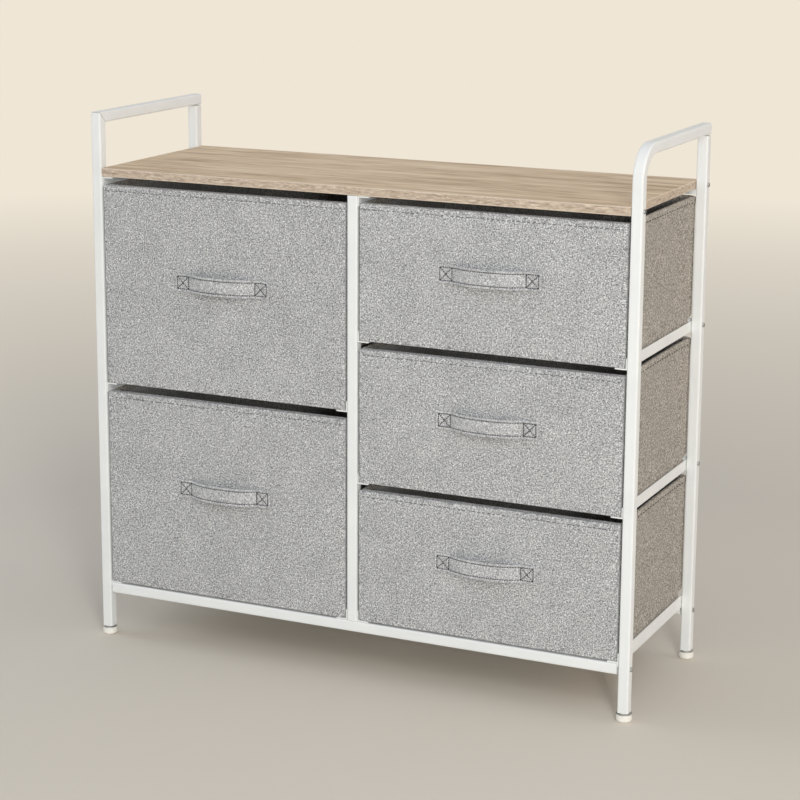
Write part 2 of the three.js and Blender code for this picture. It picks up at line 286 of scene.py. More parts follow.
def fabric(name, dark, middle, light, fleck=1.75):
    """Heathered non-woven felt: matted grey fibres with light and dark flecks about 2 mm long."""
    material, tree, surface, place = new_material(name, Roughness=0.95, IOR=1.45, Sheen_Weight=0.12,
                                                  Specular_IOR_Level=0.25)
    flecks = add(tree, "ShaderNodeTexNoise",
                 {"Vector": place, "Scale": 1 / (fleck * MM), "Detail": 2.5, "Roughness": 0.62,
                  "Distortion": 0.6})
    fibres = add(tree, "ShaderNodeTexNoise",
                 {"Vector": place, "Scale": 1 / (0.9 * MM), "Detail": 2.0, "Distortion": 1.2})
    patches = add(tree, "ShaderNodeTexNoise",
                  {"Vector": place, "Scale": 1 / (38 * MM), "Detail": 3.0})
    blend = add(tree, "ShaderNodeMath", {0: fibres.outputs[0], 1: 0.25, 2: flecks.outputs[0]},
                operation="MULTIPLY_ADD")
    soft = add(tree, "ShaderNodeMath", {0: patches.outputs[0], 1: 0.06, 2: blend.outputs[0]},
               operation="MULTIPLY_ADD")
    tone = ramp(tree, soft.outputs[0], [(0.5, dark), (0.655, middle), (0.81, light)])
    bump = add(tree, "ShaderNodeBump",
               {"Height": blend.outputs[0], "Strength": 0.6, "Distance": 0.5 * MM})
    tree.links.new(tone, surface.inputs["Base Color"])
    tree.links.new(bump.outputs[0], surface.inputs["Normal"])
    return material


def thread(name, dark, light):
    """Twisted polyester sewing thread with a dull gloss, its plies a little lighter and darker."""
    material, tree, surface, place = new_material(name, Roughness=0.7, IOR=1.5)
    twist = add(tree, "ShaderNodeTexNoise",
                {"Vector": place, "Scale": 1 / (0.7 * MM), "Detail": 1.0})
    tone = ramp(tree, twist.outputs[0], [(0.3, dark), (0.7, light)])
    tree.links.new(tone, surface.inputs["Base Color"])
    return material


# Bands, streaks and pores of the laminate: stretch along the board, width, detail, wander and share
GRAIN_LAYERS = ((0.08, 16 * MM, 3.0, 0.4, 0.6),
                (0.09, 4.5 * MM, 2.0, 0.3, 0.5),
                (0.05, 1.6 * MM, 2.0, 0.0, 0.2))


def laminate():
    """Printed oak-look laminate under a satin resin coat: greige, with soft bands about 15 mm wide,
    finer streaks and pores, all drawn out along the board."""
    material, tree, surface, place = new_material("oak_look_laminate", Roughness=0.5, IOR=1.5)
    mixed = 0.0
    for stretch, width, detail, wander, share in GRAIN_LAYERS:
        drawn_out = add(tree, "ShaderNodeMapping", {"Vector": place, "Scale": (stretch, 1.0, 1.0)})
        grain = add(tree, "ShaderNodeTexNoise",
                    {"Vector": drawn_out.outputs[0], "Scale": 1 / width, "Detail": detail,
                     "Distortion": wander})
        mixed = add(tree, "ShaderNodeMath", {0: grain.outputs[0], 1: share, 2: mixed},
                    operation="MULTIPLY_ADD").outputs[0]
    tone = ramp(tree, mixed,
                [(0.5, "#a98d6b"), (0.6, "#ceb392"), (0.68, "#dac0a0"), (0.78, "#e9d3b5")])
    bump = add(tree, "ShaderNodeBump",
               {"Height": grain.outputs[0], "Strength": 0.15, "Distance": 0.1 * MM})
    tree.links.new(tone, surface.inputs["Base Color"])
    tree.links.new(bump.outputs[0], surface.inputs["Normal"])
    return material


def edge_band():
    """Printed PVC edge band round the board: short fine streaks, and a painted highlight along its
    rounded top and bottom rims."""
    material, tree, surface, place = new_material("printed_edge_band", Roughness=0.45, IOR=1.5)
    low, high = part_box("top_board")
    axes = add(tree, "ShaderNodeSeparateXYZ", {"Vector": place})
    along = add(tree, "ShaderNodeMath", {0: axes.outputs["X"], 1: axes.outputs["Y"]},
                operation="ADD")
    band_way = add(tree, "ShaderNodeCombineXYZ", {"X": along.outputs[0], "Z": axes.outputs["Z"]})
    stretched = add(tree, "ShaderNodeMapping",
                    {"Vector": band_way.outputs[0], "Scale": (0.2, 1.0, 1.0)})
    streaks = add(tree, "ShaderNodeTexNoise",
                  {"Vector": stretched.outputs[0], "Scale": 1 / (2.4 * MM), "Detail": 3.0,
                   "Roughness": 0.65, "Distortion": 0.8})
    tone = ramp(tree, streaks.outputs[0],
                [(0.3, "#937f6c"), (0.46, "#bca994"), (0.62, "#d5c4ae"), (0.75, "#ebdfcd")])
    above = add(tree, "ShaderNodeMath", {0: axes.outputs["Z"], 1: (low.z + high.z) / 2},
                operation="SUBTRACT")
    off = add(tree, "ShaderNodeMath", {0: above.outputs[0]}, operation="ABSOLUTE")
    # Painted highlight: the band turns paler near its rounded top and bottom rims
    rim = add(tree, "ShaderNodeMapRange",
              {"Value": off.outputs[0], "From Min": BAND_HIGHLIGHT_START, "From Max": BAND_HIGHLIGHT_END})
    paler = add(tree, "ShaderNodeMix", {0: rim.outputs[0], 6: tone, 7: colour("#ddd0bf")},
                data_type="RGBA")
    tree.links.new(paler.outputs[2], surface.inputs["Base Color"])
    return material


def moulded_plastic():
    """White polypropylene of the glides: waxy, a little translucent-looking, lightly scuffed."""
    material, tree, surface, place = new_material("white_polypropylene", Roughness=0.4, IOR=1.49)
    scuff = add(tree, "ShaderNodeTexNoise", {"Vector": place, "Scale": 1 / (5 * MM), "Detail": 4.0})
    tone = ramp(tree, scuff.outputs[0], [(0.35, "#f0ede2"), (0.65, "#f8f6ee")])
    tree.links.new(tone, surface.inputs["Base Color"])
    return material


def zinc():
    """Zinc-plated steel of the screws and washers: cool grey with a cloudy passivated surface."""
    material, tree, surface, place = new_material("zinc_plated_steel", Roughness=0.38, Metallic=1.0)
    cloud = add(tree, "ShaderNodeTexNoise",
                {"Vector": place, "Scale": 1 / (1.5 * MM), "Detail": 3.0})
    tone = ramp(tree, cloud.outputs[0], [(0.35, "#a3a5a6"), (0.65, "#c6c8c9")])
    tree.links.new(tone, surface.inputs["Base Color"])
    return material


def hardboard():
    """Hardboard of the drawer bottoms: brown pressed fibre with darker flecks."""
    material, tree, surface, place = new_material("hardboard", Roughness=0.8, IOR=1.45)
    fibre = add(tree, "ShaderNodeTexNoise",
                {"Vector": place, "Scale": 1 / (2.5 * MM), "Detail": 5.0, "Roughness": 0.7})
    tone = ramp(tree, fibre.outputs[0], [(0.35, "#7d7264"), (0.65, "#9a8f80")])
    bump = add(tree, "ShaderNodeBump",
               {"Height": fibre.outputs[0], "Strength": 0.2, "Distance": 0.2 * MM})
    tree.links.new(tone, surface.inputs["Base Color"])
    tree.links.new(bump.outputs[0], surface.inputs["Normal"])
    return material


PAINT = powder_coat()
FRONT_FELT = fabric("front_felt", "#6c6d70", "#adadac", "#ecece9")
# Painted shade: the fronts' felt, drawn darker and warmer to stand in for the shade and warm side
# light on the bins' sides and backs
SHADED_BIN_FELT = fabric("shaded_bin_felt", "#635c52", "#9d968b", "#d5cec3", fleck=2.1)
STRAP_FELT = fabric("strap_felt", "#7e7f82", "#b5b5b4", "#ebebe9", fleck=1.5)
LINING = fabric("bin_lining", "#8f8d88", "#b3b1ac", "#d0cec9", fleck=2.1)
THREAD = thread("dark_polyester_thread", "#2c2d2f", "#4a4b4d")
GREY_THREAD = thread("grey_polyester_thread", "#525354", "#737475")
LAMINATE = laminate()
EDGE_BAND = edge_band()
PLASTIC = moulded_plastic()
ZINC = zinc()
HARDBOARD = hardboard()


def deselect():
    """Leaves edit mode, and nothing selected."""
    if bpy.context.mode != "OBJECT":
        bpy.ops.object.mode_set(mode="OBJECT")
    bpy.ops.object.select_all(action="DESELECT")


def choose(piece):
    """Makes a piece the only selected one."""
    deselect()
    piece.select_set(True)
    bpy.context.view_layer.objects.active = piece


def placed(name):
    """Names the primitive just added and puts its place into its mesh."""
    piece = bpy.context.object
    piece.name = name
    piece.data.name = name
    bpy.ops.object.transform_apply(location=True, rotation=True, scale=True)
    return piece


def block(name, low, high):
    """Plain block between two corners, as the start of a piece."""
    deselect()
    low, high = Vector(low), Vector(high)
    bpy.ops.mesh.primitive_cube_add(size=1, location=(low + high) / 2, scale=high - low)
    return placed(name)


def edit(piece, kind, test):
    """Opens a piece in edit mode and selects those of its FACE, EDGE or VERT parts that pass the
    test."""
    choose(piece)
    bpy.ops.object.mode_set(mode="EDIT")
    bpy.ops.mesh.select_mode(type=kind)
    bpy.ops.mesh.select_all(action="DESELECT")
    shape = bmesh.from_edit_mesh(piece.data)
    parts = {"FACE": shape.faces, "EDGE": shape.edges, "VERT": shape.verts}[kind]
    for part in parts:
        if test(part):
            part.select_set(True)
    shape.select_flush_mode()
    bmesh.update_edit_mesh(piece.data)


def everything(part):
    """Test that takes every part."""
    return True


def runs_along(axis):
    """Test for edges that run along an axis."""
    def test(edge):
        run = edge.verts[1].co - edge.verts[0].co
        return abs(run[axis]) > ALIGNED * run.length
    return test


def all_at(axis, value):
    """Test for edges or faces that lie wholly at a coordinate."""
    def test(part):
        return all(abs(v.co[axis] - value) < TOUCHING for v in part.verts)
    return test


def rounded(piece, width, segments, test):
    """Rounds the edges that pass the test."""
    edit(piece, "EDGE", test)
    bpy.ops.mesh.bevel(offset=width, offset_type="OFFSET", segments=segments, affect="EDGES")
    deselect()


def extruded(piece, test, move):
    """Draws the faces that pass the test out by a move."""
    edit(piece, "FACE", test)
    bpy.ops.mesh.extrude_region_move(TRANSFORM_OT_translate={"value": move})
    deselect()


def sliced(piece, axis, places):
    """Cuts new edge loops straight through a piece."""
    normal = [float(axis == i) for i in (X, Y, Z)]
    for place in places:
        edit(piece, "FACE", everything)
        bpy.ops.mesh.bisect(plane_co=[n * place for n in normal], plane_no=normal)
    deselect()


def modified(piece, kind, **settings):
    """Applies a modifier with the given settings."""
    choose(piece)
    modifier = piece.modifiers.new(kind.title(), kind)
    for name, value in settings.items():
        setattr(modifier, name, value)
    bpy.ops.object.modifier_apply(modifier=modifier.name)


def softened(piece, width=CUT_EDGE, segments=CUT_SEGMENTS, angle=CUT_ANGLE):
    """Rounds the edges that are sharper than the angle, and takes out the faces that collapse where
    two rounds meet."""
    modified(piece, "BEVEL", width=width, segments=segments, limit_method="ANGLE",
             angle_limit=math.radians(angle))
    edit(piece, "FACE", everything)
    bpy.ops.mesh.dissolve_degenerate(threshold=COLLAPSED)
    deselect()


def smoothed(piece, angle=CUT_ANGLE):
    """Smooth shading that keeps flat faces flat."""
    choose(piece)
    bpy.ops.object.shade_smooth_by_angle(angle=math.radians(angle))
    modified(piece, "WEIGHTED_NORMAL", keep_sharp=True)


def facing_out(piece):
    """Turns all faces outwards."""
    edit(piece, "FACE", everything)
    bpy.ops.mesh.normals_make_consistent(inside=False)
    deselect()


def finished(piece, material, body, slot, *nodes):
    """Gives a piece its material, its body and the nodes that it stands for."""
    piece.data.materials.clear()
    piece.data.materials.append(material)
    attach(piece, body)
    if nodes:
        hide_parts(*nodes)
    return piece


# Frame


def painted(piece, *nodes):
    """Finishes a steel piece of the frame: softened edges under white powder coat."""
    softened(piece)
    smoothed(piece)
    return finished(piece, PAINT, "frame", "white_powder_coat", *nodes)


def tube_blank(node, axis):
    """Straight square tube with rolled corners, as long as its node."""
    piece = block(node + "_tube", *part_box(node))
    rounded(piece, TUBE_CORNER, TUBE_SEGMENTS, runs_along(axis))
    return piece


def mitred(piece, corner, keep_front):
    """Cuts a tube at 45 degrees at a corner of the left arch, half an open seam short of it, and
    closes the cut."""
    short = ARCH_SEAM / math.sqrt(2) * (-1 if keep_front else 1)
    edit(piece, "FACE", everything)
    bpy.ops.mesh.bisect(plane_co=corner + Vector((0, 0, short)), plane_no=MITRE, use_fill=True,
                        clear_outer=keep_front, clear_inner=not keep_front)
    deselect()
    return piece


def straight_tubes():
    """Posts and cross rails. Each rear post ends an open seam below its arch bar."""
    for node in ("left_rear_post", "right_rear_post"):
        post = tube_blank(node, Z)
        edit(post, "FACE", all_at(Z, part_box(node)[1].z))
        bpy.ops.transform.translate(value=(0, 0, -ARCH_SEAM))
        deselect()
        painted(post, node)
    for node in ("middle_front_post", "middle_rear_post"):
        painted(tube_blank(node, Z), node)
    for node in ("front_bottom_rail", "rear_bottom_rail", "left_back_rail", "right_lower_back_rail",
                 "right_upper_back_rail"):
        painted(tube_blank(node, X), node)


def left_arch():
    """Post and bar that meet in a mitred corner."""
    post_low, post_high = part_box("left_front_post")
    bar_low, bar_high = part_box("left_arch_bar")
    post = mitred(tube_blank("left_front_post", Z), Vector((0, post_low.y, post_high.z)), True)
    bar = mitred(tube_blank("left_arch_bar", Y), Vector((0, bar_low.y, bar_high.z)), False)
    painted(post, "left_front_post")
    painted(bar, "left_arch_bar")


def right_arch():
    """Front post that bends back into the arch bar: one tube section drawn up, round and back."""
    node = "right_front_post_and_arch"
    low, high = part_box(node)
    deselect()
    middle = Vector(((low.x + high.x) / 2, low.y + TUBE / 2, low.z))
    bpy.ops.mesh.primitive_plane_add(size=TUBE, location=middle)
    piece = placed(node + "_tube")
    edit(piece, "VERT", everything)
    bpy.ops.mesh.bevel(offset=TUBE_CORNER, segments=TUBE_SEGMENTS, affect="VERTICES")
    bend_z = high.z - TUBE / 2 - BEND_RADIUS
    extruded(piece, everything, (0, 0, bend_z - low.z))
    edit(piece, "FACE", all_at(Z, bend_z))
    bpy.ops.mesh.spin(steps=BEND_STEPS, angle=math.radians(90), axis=(1, 0, 0),
                      center=(middle.x, middle.y + BEND_RADIUS, bend_z))
    deselect()
    extruded(piece, all_at(Y, middle.y + BEND_RADIUS), (0, high.y - middle.y - BEND_RADIUS, 0))
    facing_out(piece)
    painted(piece, node)


def angle_rail(name, low, high, axis, web_high, lip):
    """Bent sheet: a flat flange with a web on one side that stands up, hangs down, or both."""
    flange_z = low.z + lip
    piece = block(name, (low.x, low.y, flange_z), (high.x, high.y, flange_z + FLANGE))
    web = high[axis] - SHEET if web_high else low[axis] + SHEET
    sliced(piece, axis, [web])

    def on_web(side):
        def test(face):
            middle = face.calc_center_median()[axis]
            return face.normal.z * side > ALIGNED and (middle > web if web_high else middle < web)
        return test
    for side, reach in ((1, high.z - flange_z - FLANGE), (-1, lip)):
        if reach > TOUCHING:
            extruded(piece, on_web(side), (0, 0, side * reach))
    return piece


def runners():
    """Runners that carry the drawers, and the angles under the board."""
    hanging = {"left_board_runner": LEFT_LIP, "left_end_upper_runner": LEFT_LIP,
               "left_end_lower_runner": LOW_LIP, "right_end_lower_runner": LOW_LIP}
    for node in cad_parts:
        if node.endswith("_runner"):
            low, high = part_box(node)
            web_high = node.startswith(("right_end", "middle_left"))
            rail = angle_rail(node + "_sheet", low, high, X, web_high, hanging.get(node, 0))
            painted(rail, node)
    low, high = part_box("rear_board_rail")
    painted(angle_rail("rear_board_rail_sheet", low, high, Y, False, REAR_LIP), "rear_board_rail")
    left_low, left_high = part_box("left_board_runner")
    web_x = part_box("middle_front_post")[1].x + SEAT_GAP
    low = Vector((web_x, left_low.y, left_low.z))
    high = Vector((web_x + RUNNER_DEPTH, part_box("rear_board_rail")[0].y - SEAT_GAP, left_high.z))
    painted(angle_rail("middle_board_runner_sheet", low, high, X, False, LEFT_LIP))


def glide(node):
    """Round plastic foot with a rolled lower edge, the zinc washer on it, and the stem that plugs
    the tube."""
    low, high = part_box(node)
    middle = (low + high) / 2
    shoulder_z = low.z + FOOT_SHOULDER
    deselect()
    bpy.ops.mesh.primitive_cylinder_add(vertices=FOOT_SIDES, radius=FOOT_RADIUS,
                                        depth=FOOT_SHOULDER,
                                        location=(middle.x, middle.y, low.z + FOOT_SHOULDER / 2))
    piece = placed(node + "_glide")
    edit(piece, "FACE", all_at(Z, shoulder_z))
    bpy.ops.mesh.inset(thickness=FOOT_RADIUS - FOOT_STEM)
    bpy.ops.mesh.extrude_region_move(
        TRANSFORM_OT_translate={"value": (0, 0, high.z - low.z - FOOT_SHOULDER)})
    deselect()

    def at_rim(edge):
        from_middle = (edge.verts[0].co - middle).xy.length
        return all_at(Z, shoulder_z)(edge) and from_middle > (FOOT_STEM + FOOT_RADIUS) / 2
    rounded(piece, FOOT_ROLL, FOOT_ROLL_SEGMENTS, all_at(Z, low.z))
    rounded(piece, FOOT_RIM, FOOT_RIM_SEGMENTS, at_rim)
    washer_z = low.z + FOOT_SHOULDER - FOOT_WASHER
    sliced(piece, Z, [washer_z])
    smoothed(piece)
    finished(piece, PLASTIC, "frame", "foot_plastic", node)
    piece.data.materials.append(ZINC)
    for face in piece.data.polygons:
        face.material_index = int(washer_z < face.center.z < shoulder_z + FOOT_RIM)


def screw(node):
    """Low round head with a hexagon socket, and its shank."""
    low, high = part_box(node)
    middle = (low + high) / 2
    side = 1 if middle.x > 0 else -1
    outer = high.x if side > 0 else low.x
    inner = outer - side * HEAD_HEIGHT
    deselect()
    bpy.ops.mesh.primitive_cylinder_add(vertices=HEAD_SIDES, radius=HEAD_RADIUS, depth=HEAD_HEIGHT,
                                        rotation=(0, math.radians(90), 0),
                                        location=((outer + inner) / 2, middle.y, middle.z))
    piece = placed(node + "_metal")
    edit(piece, "FACE", all_at(X, inner))
    bpy.ops.mesh.inset(thickness=HEAD_RADIUS - SHANK_RADIUS)
    shank = high.x - low.x - HEAD_HEIGHT
    bpy.ops.mesh.extrude_region_move(TRANSFORM_OT_translate={"value": (-side * shank, 0, 0)})
    deselect()
    rounded(piece, HEAD_EDGE, HEAD_SEGMENTS, all_at(X, outer))
    edit(piece, "FACE", all_at(X, outer))
    bpy.ops.mesh.inset(thickness=HEAD_RADIUS - HEAD_EDGE - SOCKET_RADIUS)
    shape = bmesh.from_edit_mesh(piece.data)
    for vertex in {v for face in shape.faces if face.select for v in face.verts}:
        across = Vector((0, vertex.co.y - middle.y, vertex.co.z - middle.z))
        turn = math.atan2(across.z, across.y) % HEXAGON_ANGLE - HEXAGON_ANGLE / 2
        radius = SOCKET_RADIUS * math.cos(HEXAGON_ANGLE / 2) / math.cos(turn)
        vertex.co = Vector((outer, middle.y, middle.z)) + across.normalized() * radius
    bmesh.update_edit_mesh(piece.data)
    bpy.ops.mesh.extrude_region_move(TRANSFORM_OT_translate={"value": (-side * SOCKET_DEPTH, 0, 0)})
    deselect()
    smoothed(piece)
    finished(piece, ZINC, "frame", "zinc_steel", node)


def top_board():
    """Laminate board with an edge band on its four sides."""
    piece = block("oak_look_board", *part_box("top_board"))
    rounded(piece, BOARD_CORNER, BOARD_SEGMENTS, runs_along(Z))
    softened(piece, BOARD_EDGE, BOARD_SEGMENTS)
    smoothed(piece)
    finished(piece, LAMINATE, "frame", "wood_laminate", "top_board")
    piece.data.materials.append(EDGE_BAND)
    for face in piece.data.polygons:
        face.material_index = int(abs(face.normal.z) < BAND_SLOPE)


# Drawers


def lap(x, low, high, reach):
    """How near a coordinate is to an end of its range, from 0 outside the reach to 1 at the end."""
    return max(0, 1 - min(x - low, high - x) / reach)


def drawer_front(name):
    """Board wrapped in felt: flat, drawn in a little round its edge, slightly uneven, with a seam
    pressed in along its top."""
    low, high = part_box(f"{name}_drawer_front")
    size = high - low
    deselect()
    bpy.ops.mesh.primitive_grid_add(x_subdivisions=round(size.x / FRONT_CELL), size=1,
                                    y_subdivisions=round(size.z / FRONT_CELL),
                                    rotation=(math.radians(90), 0, 0),
                                    location=((low.x + high.x) / 2, low.y, (low.z + high.z) / 2))
    bpy.context.object.scale = (size.x, size.z, 1)
    piece = placed(f"{name}_drawer_front_felt")
    extruded(piece, everything, (0, size.y, 0))
    seam_z = high.z - FRONT_SEAM
    cuts = range(-FRONT_SEAM_CUTS, FRONT_SEAM_CUTS + 1)
    sliced(piece, Z, [seam_z + FRONT_SEAM_CUT * i for i in cuts])
    phase = random.uniform(0, PHASES)
    for vertex in piece.data.vertices:
        x, y, z = vertex.co
        if y < (low.y + high.y) / 2:
            draw = max(lap(x, low.x, high.x, FRONT_DRAW_REACH),
                       lap(z, low.z, high.z, FRONT_DRAW_REACH))
            wave = math.sin(x / FRONT_WAVE_X + phase) * math.sin(z / FRONT_WAVE_Z + 2 * phase)
            groove = math.exp(-((z - seam_z) / FRONT_SEAM_CUT) ** 2)
            vertex.co.y += FRONT_DRAW * draw ** 2 + FRONT_WAVE * (1 + wave) + FRONT_GROOVE * groove
    facing_out(piece)
    softened(piece, FRONT_EDGE, FRONT_SEGMENTS, FELT_ANGLE)
    smoothed(piece, FELT_ANGLE)
    finished(piece, FRONT_FELT, f"{name}_drawer", "drawer_fabric", f"{name}_drawer_front")
    line = (Vector((low.x + FRONT_EDGE, low.y, seam_z)),
            Vector((high.x - FRONT_EDGE, low.y, seam_z)), Vector((0, -1, 0)))
    seam(f"{name}_drawer_front_seam", laid_on(piece, [line], FRONT_STITCH_PITCH),
         FRONT_STITCH_LENGTH, FRONT_STITCH_WIDTH, f"{name}_drawer", GREY_THREAD)


def swell(z, low, high, beside_lip):
    """How much of its swell the back of a bin has at a height: none beside the back rail and the
    runner's web at its foot, nor at its top where a runner's lip hangs beside it."""
    share = min(1, max(0, (z - low - SWELL_START) / SWELL_RISE))
    if beside_lip:
        share *= min(1, max(0, (high - LIP_CLEARANCE - z) / SWELL_RISE))
    return share * share * (3 - 2 * share)


def bin_cuts(piece, low, high):
    """Cuts the walls of a bin into cells, finer at its corners, along its hem and where its back
    swells."""
    corner_cuts = [BIN_CORNER + (BIN_DIP_REACH - BIN_CORNER) * i / BIN_DIP_CUTS
                   for i in range(BIN_DIP_CUTS + 1)]
    for axis in (X, Y):
        start, end = low[axis], high[axis]
        span = end - start - 2 * BIN_DIP_REACH
        cells = round(span / BIN_CELL)
        sliced(piece, axis, [start + BIN_DIP_REACH + span / cells * i for i in range(1, cells)])
        sliced(piece, axis, [start + cut for cut in corner_cuts])
        sliced(piece, axis, [end - cut for cut in corner_cuts])
    rows = round((high.z - low.z - HEM) / BIN_CELL)
    step = (high.z - low.z - HEM) / rows
    swell_rows = [low.z + SWELL_START + SWELL_RISE * i / SWELL_CUTS for i in range(SWELL_CUTS + 1)]
    fade_rows = [high.z - LIP_CLEARANCE - SWELL_RISE * i / LIP_CUTS for i in range(LIP_CUTS + 1)]
    sliced(piece, Z, [low.z + step * i for i in range(2, rows)] + swell_rows + fade_rows)
    sliced(piece, Z, [high.z - HEM - HEM_STEP, high.z - HEM])


def bin_bends(piece, low, high):
    """Bends the walls of a bin: its sides sag in, its back swells out and flares at the corners,
    and the rim dips at the corners. What lies below the hem steps in by its thickness."""
    middle = (low + high) / 2
    phase = random.uniform(0, PHASES)
    for vertex in piece.data.vertices:
        x, y, z = vertex.co
        along_x = math.sin(math.pi * (x - low.x) / (high.x - low.x))
        along_y = math.sin(math.pi * (y - low.y) / (high.y - low.y))
        up = math.sin(math.pi * (z - low.z) / (high.z - low.z) * BIN_SAG_WAVE)
        uneven = 1 + BIN_UNEVEN * math.sin(x / BIN_WAVE_X + y / BIN_WAVE_Y + z / BIN_WAVE_Z + phase)
        inward = BIN_SAG * up * uneven
        from_corner = max(high.y - y, min(x - low.x, high.x - x))
        step_in = HEM_STEP if z < high.z - HEM - HEM_STEP / 2 else 0
        if z > low.z + TOUCHING:
            towards = 1 if x < middle.x else -1
            if abs(x - low.x) < BIN_CORNER / 2 or abs(x - high.x) < BIN_CORNER / 2:
                vertex.co.x += towards * (inward * along_y + step_in)
            if y > high.y - BIN_CORNER / 2:
                vertex.co.y -= inward * along_x + step_in
            near_back = max(0, 1 - (high.y - y) / SWELL_REACH) ** 2
            vertex.co.y += BIN_BACK_SWELL * near_back * swell(z, low.z, high.z, False)
            if (x - middle.x) * middle.x > 0:
                flare = towards * BIN_FLARE * near_back
                vertex.co.x -= flare * swell(z, low.z, high.z, middle.x < 0)
        if z > high.z - HEM - HEM_STEP / 2:
            share = (z - high.z + HEM) / HEM
            vertex.co.z -= share * BIN_DIP * max(0, 1 - from_corner / BIN_DIP_REACH) ** 2


def fabric_bin(name):
    """Open box of felt, darker and warmer outside as painted shade, with a paler lining: round
    upright corners, side walls that sag in a little, a back that swells out over the rail behind
    it, and a hem folded to the inside."""
    low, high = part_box(f"{name}_drawer_bin")
    middle = (low + high) / 2
    piece = block(f"{name}_drawer_bin_felt", low, high)
    edit(piece, "FACE", all_at(Z, high.z))
    bpy.ops.mesh.delete(type="FACE")
    deselect()
    rounded(piece, BIN_CORNER, BIN_CORNER_SEGMENTS, runs_along(Z))
    bin_cuts(piece, low, high)
    bin_bends(piece, low, high)
    facing_out(piece)
    modified(piece, "SOLIDIFY", thickness=BIN_WALL, offset=-1, use_even_offset=True)
    softened(piece, BIN_RIM, BIN_RIM_SEGMENTS, FELT_ANGLE)
    smoothed(piece, FELT_ANGLE)
    # The outer felt wears the painted-shade copy of the front felt
    finished(piece, SHADED_BIN_FELT, f"{name}_drawer", "drawer_fabric", f"{name}_drawer_bin")
    piece.data.materials.append(LINING)
    piece.data.materials.append(FRONT_FELT)
    # Lining inside below the hem; the front wall's faces keep the front felt, without the painted
    # shade
    for face in piece.data.polygons:
        inside = face.normal.dot(middle - face.center) > LINING_DEPTH
        if inside and face.center.z < high.z - HEM:
            face.material_index = 1
        elif face.center.y < low.y + 2 * BIN_WALL:
            face.material_index = 2


def base_board(name):
    """Loose hardboard on the floor of a bin."""
    low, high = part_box(f"{name}_drawer_base")
    piece = block(f"{name}_drawer_base_hardboard", low, high)
    rounded(piece, BASE_CORNER, BASE_CORNER_SEGMENTS, runs_along(Z))
    softened(piece)
    smoothed(piece)
    finished(piece, HARDBOARD, f"{name}_drawer", "base_card", f"{name}_drawer_base")


def stitch_template():
    """One stitch along X: a short rounded length of thread, as corner points and faces."""
    deselect()
    bpy.ops.mesh.primitive_ico_sphere_add(subdivisions=1, radius=0.5)
    piece = bpy.context.object
    points = [vertex.co.copy() for vertex in piece.data.vertices]
    faces = [tuple(face.vertices) for face in piece.data.polygons]
    bpy.data.objects.remove(piece)
    return points, faces


STITCH_POINTS, STITCH_FACES = stitch_template()


def seam(name, stitches, length, width, body, material=THREAD):
    """Thread of a seam: a copy of the stitch at each (place, direction, outward direction)."""
    points = []
    faces = []
    for place, direction, outward in stitches:
        first = len(points)
        direction = direction.normalized()
        across = outward.cross(direction).normalized()
        for point in STITCH_POINTS:
            points.append(place + direction * point.x * length + across * point.y * width
                          + outward * point.z * width)
        faces += [tuple(first + corner for corner in face) for face in STITCH_FACES]
    mesh = bpy.data.meshes.new(name)
    mesh.from_pydata(points, [], faces)
    piece = bpy.data.objects.new(name, mesh)
    bpy.context.scene.collection.objects.link(piece)
    facing_out(piece)
    choose(piece)
    bpy.ops.object.shade_smooth()
    return finished(piece, material, body, "drawer_fabric")


def stitched_line(start, end, outward, pitch):
    """Stitches at an even pitch from start to end."""
    run = end - start
    count = max(1, round(run.length / pitch))
    return [(start + run * (i + 0.5) / count, run, outward) for i in range(count)]


def laid_on(piece, lines, pitch):
    """Stitches along (start, end, outward direction) lines, each moved onto the piece's surface."""
    stitches = []
    for start, end, outward in lines:
        for place, run, out in stitched_line(start, end, outward, pitch):
            found, point, _, _ = piece.ray_cast(place + out * SEAM_SEARCH, -out)
            if found:
                stitches.append((point, run, out))
    return stitches


def hem_seam(name):
    """Seam round the hem, on the sides and back of the bin."""
    piece = bpy.data.objects[f"{name}_drawer_bin_felt"]
    low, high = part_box(f"{name}_drawer_bin")
    z = high.z - HEM_SEAM
    front_y = low.y + BIN_CORNER
    lines = ((Vector((low.x, front_y, z)), Vector((low.x, high.y, z)), Vector((-1, 0, 0))),
             (Vector((high.x, front_y, z)), Vector((high.x, high.y, z)), Vector((1, 0, 0))),
             (Vector((low.x + BIN_CORNER, high.y, z)), Vector((high.x - BIN_CORNER, high.y, z)),
              Vector((0, 1, 0))))
    seam(f"{name}_drawer_hem_seam", laid_on(piece, lines, STITCH_PITCH), STITCH_LENGTH,
         STITCH_WIDTH, f"{name}_drawer")


def strap_rise(x):
    """How far the strap stands off the front at a distance x from its middle."""
    share = min(abs(x) / (STRAP_LENGTH / 2 - STRAP_PATCH), 1)
    return STRAP_BOW * (1 - share ** STRAP_BOW_POWER)


def strap_lines():
    """Seams of a strap in its own plane, as pairs of (x, z) ends: along both edges, and a crossed
    box at each end."""
    half = STRAP_LENGTH / 2
    side = STRAP_WIDTH / 2 - STRAP_SEAM
    outer = half - STRAP_SEAM
    inner = half - STRAP_PATCH + STRAP_THICKNESS / 2
    lines = [((-outer, side), (outer, side)), ((-outer, -side), (outer, -side))]
    for end in (-1, 1):
        a, b = end * inner, end * outer
        lines += [((a, -side), (a, side)), ((b, -side), (b, side)),
                  ((a, -side), (b, side)), ((a, side), (b, -side))]
    return lines


def from_line(x, z, line):
    """Distance from a point to a seam line, in the strap's plane."""
    start, end = Vector(line[0]), Vector(line[1])
    run = end - start
    share = min(1, max(0, (Vector((x, z)) - start).dot(run) / run.length_squared))
    return (Vector((x, z)) - start - run * share).length


